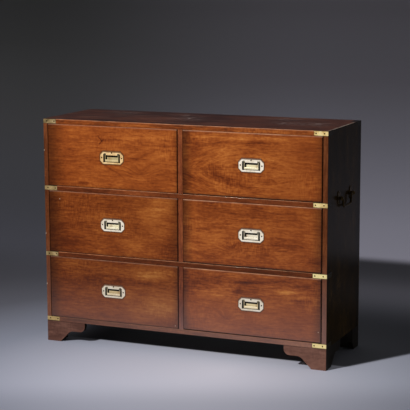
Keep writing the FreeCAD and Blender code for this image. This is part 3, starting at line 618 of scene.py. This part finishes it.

# Each front has its own figure. Its marks are placed from its centre, in metres along it and up it. calm
# is the share of its contrast that is left low down, and calm_end the share that is lost at the right.
# level is how light the whole front is kept, left and right are how far the darkening at its ends reaches
# in, and edge_dark how dark that is at the right. Of its pull, film is the share of brown film on it, gilt
# the colour of its bail and of the painted light on its cup's floor, brown_reflection how far right of its
# middle a painted brown reflection lies on that floor, and rim how much further in the painted shade at the
# plate's edge reaches.
drawers = [
    {
        "place": "top_left", "seed": 61.0, "contrast": 1.0, "lift": 0.012,
        "level": 0.98, "left": 0.090, "right": 0.026,
        "film": 0.0, "gilt": (176, 170, 128), "brown_reflection": -0.014, "rim": 0.0006,
        "knots": [(-0.044, 0.068, 0.012, 0.9), (0.128, -0.048, 0.030, 1.0)],
        "clouds": [
            (-0.048, 0.072, 0.012, 0.003, -1.0, -0.30), (-0.044, 0.066, 0.012, 0.003, 1.0, -0.30),
            (0.000, 0.073, 0.045, 0.004, 0.03, -0.16), (0.060, 0.046, 0.030, 0.008, 0.0, -0.08),
            (0.150, 0.086, 0.110, 0.014, 0.05, 0.14), (0.220, 0.060, 0.080, 0.004, 0.02, -0.12),
            (0.105, 0.022, 0.060, 0.005, 0.42, 0.09), (0.150, 0.020, 0.060, 0.005, 0.42, -0.09),
            (0.200, 0.012, 0.060, 0.006, 0.36, 0.08), (0.128, -0.084, 0.035, 0.010, 0.0, 0.16),
            (0.008, -0.052, 0.050, 0.005, -0.6, -0.14), (-0.128, -0.108, 0.020, 0.007, 0.0, -0.26),
            (-0.210, 0.000, 0.080, 0.200, 0.0, -0.10),
        ],
    },
    {
        "place": "top_right", "seed": 67.0, "contrast": 1.35, "lift": 0.03, "calm_end": 0.4,
        "level": 1.0, "left": 0.050, "right": 0.040, "coat": 0.8,
        "film": 0.0, "gilt": (250, 236, 178), "brown_reflection": 0.022,
        "eye": (-0.168, -0.020),
        "clouds": [
            (-0.015, 0.103, 0.240, 0.007, 0.0, 0.15), (0.010, 0.086, 0.090, 0.011, 0.0, -0.13),
            (-0.100, 0.050, 0.060, 0.020, 0.0, 0.06), (-0.172, -0.016, 0.026, 0.014, 0.0, -0.09),
            (-0.118, -0.054, 0.050, 0.011, -0.5, -0.05), (-0.020, -0.088, 0.070, 0.011, -0.1, -0.10),
            (-0.200, -0.056, 0.070, 0.014, -0.35, 0.11), (0.250, 0.000, 0.060, 0.150, 0.0, -0.09),
            (-0.250, 0.000, 0.060, 0.200, 0.0, -0.08),
        ],
    },
    {
        "place": "middle_left", "seed": 71.5, "contrast": 1.15, "lift": 0.0,
        "level": 0.75, "left": 0.090, "right": 0.050, "coat": 0.1,
        "film": 0.12, "gilt": (250, 238, 190), "brown_reflection": -0.012,
        "clouds": [
            (0.180, 0.070, 0.080, 0.034, 0.2, 0.15), (0.105, 0.012, 0.025, 0.030, 0.0, -0.08),
            (0.265, -0.066, 0.040, 0.060, 0.0, -0.13), (0.100, -0.080, 0.080, 0.025, 0.0, 0.08),
            (-0.120, -0.098, 0.020, 0.004, 0.0, 0.14), (-0.060, -0.111, 0.018, 0.004, 0.0, 0.12),
            (-0.200, -0.090, 0.070, 0.030, 0.0, -0.10), (-0.220, 0.000, 0.130, 0.200, 0.0, -0.10),
        ],
        "spots": [(-0.240, 0.094)],
    },
    {
        "place": "middle_right", "seed": 73.0, "contrast": 1.3, "lift": 0.01, "calm_end": 0.2,
        "level": 0.96, "left": 0.050, "right": 0.055, "edge_dark": 0.6,
        "film": 0.0, "gilt": (255, 242, 214), "brown_reflection": -0.024,
        "knots": [(-0.085, -0.052, 0.020, 1.2)],
        "clouds": [
            (0.148, 0.092, 0.080, 0.006, 0.0, -0.16), (0.188, -0.032, 0.060, 0.011, 0.0, -0.12),
            (-0.150, -0.032, 0.050, 0.035, 0.0, 0.08), (0.010, -0.065, 0.040, 0.018, 0.0, 0.07),
            (-0.200, 0.014, 0.060, 0.004, 0.0, -0.10), (0.250, -0.090, 0.050, 0.020, 0.0, -0.16),
        ],
    },
    {
        "place": "bottom_left", "seed": 79.0, "contrast": 1.25, "lift": -0.01, "calm": 0.7,
        "level": 0.58, "left": 0.070, "right": 0.030, "coat": 0.15,
        "film": 0.28, "gilt": (196, 164, 96), "brown_reflection": 0.022,
        "clouds": [
            (0.168, 0.084, 0.120, 0.024, 0.0, 0.20), (0.130, 0.044, 0.090, 0.012, 0.0, -0.11),
            (0.030, 0.045, 0.028, 0.014, 0.0, -0.14), (-0.120, 0.045, 0.050, 0.030, 0.0, -0.06),
            (0.190, -0.045, 0.110, 0.050, 0.0, 0.38), (-0.220, -0.020, 0.110, 0.150, 0.0, -0.10),
        ],
        "spots": [(0.275, -0.116)],
    },
    {
        "place": "bottom_right", "seed": 83.0, "contrast": 1.3, "lift": 0.0, "calm": 0.6,
        "level": 0.86, "left": 0.036, "right": 0.042, "edge_dark": 0.55,
        "film": 0.2, "gilt": (240, 212, 146), "brown_reflection": 0.024,
        "knots": [(-0.100, -0.060, 0.022, 1.2)],
        "clouds": [
            (0.000, 0.088, 0.110, 0.009, 0.09, -0.24), (0.160, 0.064, 0.050, 0.008, 0.05, 0.20),
            (-0.190, 0.034, 0.080, 0.016, 0.05, 0.10), (-0.250, 0.000, 0.060, 0.150, 0.0, -0.08),
            (-0.052, 0.048, 0.020, 0.009, 0.0, -0.20), (0.230, 0.033, 0.040, 0.007, 0.1, -0.18),
            (-0.150, 0.090, 0.080, 0.010, 0.05, -0.08),
        ],
        "spots": [(0.278, -0.084)],
    },
]


def outside_plate(finish, plate, trim=0.0, down=0.0):
    """Distance outside the outline of a pull's plate, a rectangle with its corners cut off, or outside one
    that is trimmed at its top and bottom and moved down a little."""
    low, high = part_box(plate)
    half_x, half_z = (high.x - low.x) / 2, (high.z - low.z) / 2 - trim
    x, z = abs(finish.x - (low.x + high.x) / 2), abs(finish.z - (low.z + high.z) / 2 + down)
    aslant = (x + z - (half_x + half_z - PLATE_CORNER)) * math.sqrt(0.5)
    return (x - half_x).at_least(z - half_z).at_least(aslant)


def clear_of_edge_darkening(wood, drawer, free, low, high):
    """1 where a front keeps its colour, less towards its edges, and in painted shade beside its right and
    foot gaps and round its pull.
    """
    ragged = wood.noise(free, (9.0, 9.0, 9.0), 2.0) * RAGGED
    left_side = (wood.x - low.x + ragged).rise(LEFT_DARK_START, drawer["left"])
    right_side = (high.x - wood.x + ragged).rise(RIGHT_DARK_START, drawer["right"])
    head = (high.z - wood.z + ragged).rise(*HEAD_DARK)
    foot = (wood.z - low.z + ragged).rise(*FOOT_DARK)
    edge_dark = drawer.get("edge_dark", EDGE_DARK)
    clear = (left_side * 0.68 + 0.32) * (right_side * edge_dark + 1 - edge_dark)
    clear = clear * (head * 0.15 + 0.85) * (foot * 0.3 + 0.7)
    # Painted shade beside the gaps at the right and the foot, and round the plate.
    clear = clear * ((high.x - wood.x).rise(*RIGHT_GAP_SHADE) * 0.75 + 0.25)
    clear = clear * ((wood.z - low.z).rise(*FOOT_GAP_SHADE) * 0.6 + 0.4)
    gap = outside_plate(wood, f"drawer_{drawer['place']}_pull_plate")
    return clear * (gap.rise(*PLATE_GAP_SHADE) * 0.7 + 0.3)


for drawer in drawers:
    node = f"drawer_{drawer['place']}_front"
    low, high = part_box(node)
    coat = drawer.get("coat", FRONT_COAT)
    wood = polished(node, FRONT_ROUGHNESS, coat, 1.42)
    along, across = wood.x - (low.x + high.x) / 2, wood.z - (low.z + high.z) / 2
    knots, clouds, eye = drawer.get("knots", ()), drawer["clouds"], drawer.get("eye")
    tone, free = figure(wood, along, across, wood.y, drawer["seed"], knots, clouds, eye)
    calm = drawer.get("calm", 1.0)
    strength = (across.rise(*CALM_BELOW) * (1 - calm) + calm) * drawer["contrast"]
    strength = strength * (1 - along.rise(*CALM_RIGHT) * drawer.get("calm_end", 0.0))
    tone = 0.5 + (tone - 0.5) * strength + drawer["lift"]
    clear = clear_of_edge_darkening(wood, drawer, free, low, high) * drawer["level"]
    colour = wood.mix(clear, paint(*FRONT_DARKENING), wood.ramp(tone, DRAWER_TONES))
    arris = abs(wood.z - high.z) + abs(wood.y - FRONT_Y)
    # A painted highlight along the top arris, stronger on the drawers at the right.
    colour = arris_highlight(wood, colour, arris, free, HIGHLIGHT_REACH, 0.8 if "right" in drawer["place"] else 0.25)
    for x, z in drawer.get("spots", ()):
        spot = 1 - ((along - x) ** 2 + (across - z) ** 2).rise(*SPOT_SQUARED)
        colour = wood.mix(spot * 0.7, colour, paint(*SPOT_PALE))
    worn = 1 - arris.rise(*WORN_ARRIS)
    # Paler and greyer low down: a painted reflection of the floor.
    wood.set(Base_Color=floor_reflection(wood, colour, 0.24, FRONT_REFLECTION_HIGH))
    wood.set(Coat_Weight=coat - worn * coat, Roughness=worn * 0.3 + FRONT_ROUGHNESS)
    dress(node, wood)


# The drawer linings: sides and back of bare oak, dovetailed to the front and to each other, and an oak
# bottom that slides into grooves round them.
PLAIN_STOPS = (0.0, 0.35, 0.5, 0.7, 1.0)
OAK_TONES = tone_scale(
    (96, 68, 40), (142, 106, 68), (164, 126, 84), (184, 147, 102), (208, 176, 132), stops=PLAIN_STOPS
)
PLAIN_SWAY = 0.012
PLAIN_DEPTH = 0.0002


def plain_wood(node, axes, seed, tones):
    """A straight-grained wood with no polish. axes names its length, width and thickness in turn."""
    wood = Finish(node, IOR=1.45, Specular_IOR_Level=0.3)
    along, across, through = (getattr(wood, axis) for axis in axes)
    free = wood.place(along, across, through + seed)
    bent = across + wood.noise(free, (2.0, 4.0, 4.0)) * PLAIN_SWAY
    grain = wood.place(along, bent, through + seed)
    rings = wood.noise(grain, (1.0, 55.0, 20.0), 3.0)
    lines = wood.noise(grain, (9.0, 500.0, 120.0), 1.0)
    stain = wood.noise(free, (3.0, 5.0, 3.0), 2.0)
    tone = 0.5 + rings * 0.4 + lines * 0.22 + stain * 0.2
    wood.set(Base_Color=wood.ramp(tone, tones), Roughness=0.68 + lines * 0.08)
    wood.relief(lines, PLAIN_DEPTH, 0.6)
    dress(node, wood)


for drawer in drawers:
    plain_wood(f"drawer_{drawer['place']}_box", "yzx", drawer["seed"] + 0.7, OAK_TONES)
    plain_wood(f"drawer_{drawer['place']}_bottom", "xyz", drawer["seed"] + 1.3, OAK_TONES)


# Inside the case: rear rails, bearers, runners, guides and stops of bare pine, let into the case or
# glued. The back is of upright pine boards, tongued together and stained brown.
PINE_TONES = tone_scale(
    (98, 66, 36), (138, 98, 58), (160, 119, 74), (180, 140, 92), (205, 170, 122), stops=PLAIN_STOPS
)
BACK_TONES = tone_scale(
    (44, 27, 16), (72, 46, 28), (90, 60, 37), (110, 76, 48), (142, 104, 70), stops=PLAIN_STOPS
)
plain_wood("rear_rails", "xzy", 91.0, PINE_TONES)
plain_wood("runners", "yxz", 92.0, PINE_TONES)
plain_wood("centre_bearers", "yxz", 93.0, PINE_TONES)
plain_wood("drawer_guides", "yxz", 94.0, PINE_TONES)
plain_wood("drawer_stops", "xyz", 95.0, PINE_TONES)
plain_wood("back_boards", "zxy", 96.0, BACK_TONES)


# The corner straps: flat brass angles let in flush with the wood. Those on the left have dulled to olive
# and those on the right are brighter gold, both with painted highlights, and both have painted shade on
# their ends and backs.
STRAP_LONG = 0.058
STRAP_TALL = 0.019
STRAP_RIM = (0.0008, 0.0024)
STRAP_BLEND = 0.05
BRASS_SKIN = (FRONT_Y + 0.0004, FRONT_Y + 0.0018)
BRASS_DEPTH = 0.00008
TARNISH_AND_SHADE = (12, 9, 4)
RIM_BROWN = (44, 28, 14)
OLD_GOLD = (240, 204, 136)
WHITE_GOLD = (255, 236, 168)
DULL_STOPS = (0.0, 0.35, 0.55, 0.8, 1.0)
DULL_TONES = tone_scale(
    (70, 52, 30), (118, 98, 62), (150, 128, 88), (190, 166, 124), (224, 200, 162), stops=DULL_STOPS
)
GOLD_TONES = tone_scale(
    (112, 78, 36), (196, 156, 90), (234, 202, 134), (248, 228, 168), (255, 244, 208), stops=PLAIN_STOPS
)

# Each strap's painted highlight, or for the top left one a darkening, by the piece of the case that its top
# is level with.
LEFT_STRAPS = [
    ("bottom_board", 0.38, OLD_GOLD),
    ("rail_lower", 0.10, OLD_GOLD),
    ("rail_upper", 0.16, OLD_GOLD),
    ("top_board", 0.14, RIM_BROWN),
]
RIGHT_STRAPS = [
    ("bottom_board", 0.7, WHITE_GOLD),
    ("rail_lower", 0.95, WHITE_GOLD),
    ("rail_upper", 0.3, WHITE_GOLD),
]


class Brass(Finish):
    """Brass, cast or rolled and browned by air: what the light finds in it is soft and broken."""

    def __init__(self, title, seed, tones, metal, roughness):
        super().__init__(title, IOR=1.25, Metallic=metal)
        free = self.place(self.x, self.y, self.z + seed)
        patina = self.noise(free, (38.0, 38.0, 38.0), 3.0)
        spots = self.noise(free, (260.0, 260.0, 260.0), 2.0)
        strokes = self.noise(free, (60.0, 900.0, 900.0), 1.0)
        self.colour = self.ramp(0.5 + patina * 0.5 + spots * 0.25 + strokes * 0.08, tones)
        self.set(Base_Color=self.colour)
        self.set(Roughness=roughness + patina * 0.10 + spots * 0.06 + strokes * 0.04)
        self.relief(strokes * 0.3 + spots * 0.5, BRASS_DEPTH, 0.5)

    def stain(self, share, colour):
        """Lays a colour over the brass, at a share that may vary."""
        self.colour = self.mix(share, self.colour, paint(*colour))
        self.set(Base_Color=self.colour)


def shade_off_the_front(made, share):
    """A share on the ends and back of a piece of brass, where shade is painted."""
    return made.y.rise(*BRASS_SKIN) * share


def strap_rims(made):
    """The edges of the straps on the front, where polish and dirt have gathered."""
    nearest = abs(abs(made.x) - END_X + STRAP_LONG)
    for piece in ("bottom_board", "rail_lower", "rail_upper", "top_board"):
        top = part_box(piece)[1].z
        nearest = nearest.at_most(abs(made.z - top)).at_most(abs(made.z - top + STRAP_TALL))
    return (1 - nearest.rise(*STRAP_RIM)) * 0.85


def strap_brass(title, seed, tones, metal, roughness, straps):
    made = Brass(title, seed, tones, metal, roughness)
    for piece, share, colour in straps:
        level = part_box(piece)[1].z - STRAP_TALL / 2
        made.stain((((made.z - level) / STRAP_BLEND) ** 2).bell() * share, colour)
    made.stain(strap_rims(made), RIM_BROWN)
    # Painted shade on the straps' ends and backs.
    made.stain(shade_off_the_front(made, 0.97), TARNISH_AND_SHADE)
    return made


dress("straps_left", strap_brass("dull_strap", 5.0, DULL_TONES, 0.4, 0.5, LEFT_STRAPS))
dress("straps_right", strap_brass("bright_strap", 7.0, GOLD_TONES, 0.25, 0.4, RIGHT_STRAPS))


# The case's screws: slotted and countersunk brass wood screws, dark with old polish, which hold the
# straps, the carrying handles' mounts and the back.
CAST_STOPS = (0.0, 0.4, 0.6, 1.0)
SCREW_TONES = tone_scale((26, 20, 11), (46, 36, 20), (62, 49, 28), (110, 90, 56), stops=CAST_STOPS)
dress("case_screws", Brass("old_screws", 9.0, SCREW_TONES, 0.8, 0.5))


# The sunk pulls: a brass plate and cup cast in one and let into the drawer's front, a hinged bail, and
# its pins and screws. Each has its own colour by use and lacquer, gold at the top left and nearly white
# on most others; that near white also stands in for the light the metal reflects, painted into its colour.
PALE_TONES = tone_scale(
    (176, 158, 130), (238, 224, 200), (250, 240, 222), (255, 252, 242), stops=CAST_STOPS
)
WARM_TONES = tone_scale(
    (150, 116, 70), (216, 178, 122), (236, 202, 148), (252, 230, 186), stops=CAST_STOPS
)
PLATE_EDGE_SHADE = (96, 52, 24)
FILM_BROWN = (96, 84, 66)
CUP_REFLECTION_BROWN = (140, 92, 44)
CUP_REFLECTION_REACH = 0.008
PLATE_PROUD = 0.0008
PLATE_TRIM = 0.0024
PLATE_DOWN = 0.0012
PLATE_SHADE_RIM = (-0.0026, -0.0004)
CUP_DEPTH = 0.0105
CUP_FLOOR = FRONT_Y - PLATE_PROUD + CUP_DEPTH
FLOOR_SKIN = (CUP_FLOOR - 0.0012, CUP_FLOOR - 0.0004)
CUP_SKIN = (FRONT_Y + 0.0001, FRONT_Y + 0.0016)
CUP_HALF = 0.0353
CUP_LOW = -0.0184
CUP_HIGH = 0.0145
CUP_WALL = (0.0014, 0.0032)
WINDOW_HALF = 0.0262
WINDOW_LOW = -0.0105
WINDOW_HIGH = 0.0010
FADE = 0.0012
LIP = 0.0099
LIP_SHADE = (0.0002, 0.0016)
ARM_EDGE = (0.0286, 0.0300)
EYES_LOW = 0.0105
SOFT = 0.001


def from_centre(made, plate):
    """Where a point is, to the right of a plate's centre and above it."""
    low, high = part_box(plate)
    return made.x - (low.x + high.x) / 2, made.z - (low.z + high.z) / 2


def lit_cup_floor(made, plate):
    """The middle of the cup's floor, where light on it is painted bright."""
    x, z = from_centre(made, plate)
    wide = x.rise(-WINDOW_HALF, FADE - WINDOW_HALF) * (1 - x.rise(WINDOW_HALF, WINDOW_HALF + FADE))
    tall = z.rise(WINDOW_LOW - FADE, WINDOW_LOW) * (1 - z.rise(WINDOW_HIGH, WINDOW_HIGH + FADE))
    return made.y.rise(*FLOOR_SKIN) * wide * tall


def cup_shade_and_tarnish(made, plate):
    """Painted shade, with some tarnish: the cup behind its face save the lit floor, its side walls, and a
    line under its lip.
    """
    x, z = from_centre(made, plate)
    behind = made.y.rise(*CUP_SKIN) * 0.97
    sides = (1 - abs(abs(x) - CUP_HALF).rise(*CUP_WALL)) * z.rise(CUP_LOW - SOFT, CUP_LOW)
    sides = sides * (1 - z.rise(CUP_HIGH, CUP_HIGH + 2 * SOFT))
    lip = (1 - abs(z - LIP).rise(*LIP_SHADE)) * (1 - abs(x).rise(WINDOW_HALF, WINDOW_HALF + SOFT)) * 0.9
    return (behind * (1 - lit_cup_floor(made, plate))).at_least(sides).at_least(lip)


def shade_round_the_bail(made, plate):
    """Painted shade on the edges and the back of the bail, the outer edges of its arms, and its eyes."""
    x, z = from_centre(made, plate)
    arms = abs(x).rise(*ARM_EDGE) * 0.9
    eyes = z.rise(EYES_LOW, EYES_LOW + 2 * SOFT) * 0.75
    return shade_off_the_front(made, 0.95).at_least(arms).at_least(eyes)


for drawer in drawers:
    place = drawer["place"]
    plate = f"drawer_{place}_pull_plate"
    bail = f"drawer_{place}_pull_bail"
    tones = WARM_TONES if place == "top_left" else PALE_TONES
    made = Brass(plate, drawer["seed"], tones, 0.15, 0.38)
    # Painted light on the middle of the cup's floor, in the gilt colour.
    bright = lit_cup_floor(made, plate)
    # A painted brown reflection on the lit floor of the cup.
    brown_reflection = (((from_centre(made, plate)[0] - drawer["brown_reflection"]) / CUP_REFLECTION_REACH) ** 2).bell() * 0.5
    rim = drawer.get("rim", 0.0)
    # Painted shade of the recess round the plate: its edge is drawn brown, further in at the top.
    edge = outside_plate(made, plate, PLATE_TRIM, PLATE_DOWN).rise(PLATE_SHADE_RIM[0] - rim, PLATE_SHADE_RIM[1] - rim)
    made.stain(drawer["film"], FILM_BROWN)
    made.stain(bright * 0.7, drawer["gilt"])
    made.stain(bright * brown_reflection, CUP_REFLECTION_BROWN)
    made.stain(edge * 0.9, PLATE_EDGE_SHADE)
    # Painted shade in the cup, with some tarnish.
    made.stain(cup_shade_and_tarnish(made, plate), TARNISH_AND_SHADE)
    dress(plate, made)
    made = Brass(bail, drawer["seed"] + 2.0, tones, 0.25, 0.34)
    made.stain(0.5, drawer["gilt"])
    # Painted shade round the bail.
    made.stain(shade_round_the_bail(made, plate), TARNISH_AND_SHADE)
    dress(bail, made)
    fixings = Brass(f"{place}_fixings", drawer["seed"] + 4.0, SCREW_TONES, 0.8, 0.45)
    dress(f"drawer_{place}_pull_fixings", fixings)


# The carrying handles: on each end a pair of cast mounts, screwed on, with a round bail hinged in them.
# Their brass has gone brown and was never polished.
AGED_TONES = tone_scale((44, 34, 20), (78, 62, 36), (102, 82, 48), (150, 124, 78), stops=CAST_STOPS)

for side, seed in (("left", 13.0), ("right", 17.0)):
    dress(f"carry_mounts_{side}", Brass(f"{side}_mounts", seed, AGED_TONES, 0.85, 0.4))
    dress(f"carry_bail_{side}", Brass(f"{side}_carry_bail", seed + 1.0, AGED_TONES, 0.85, 0.34))
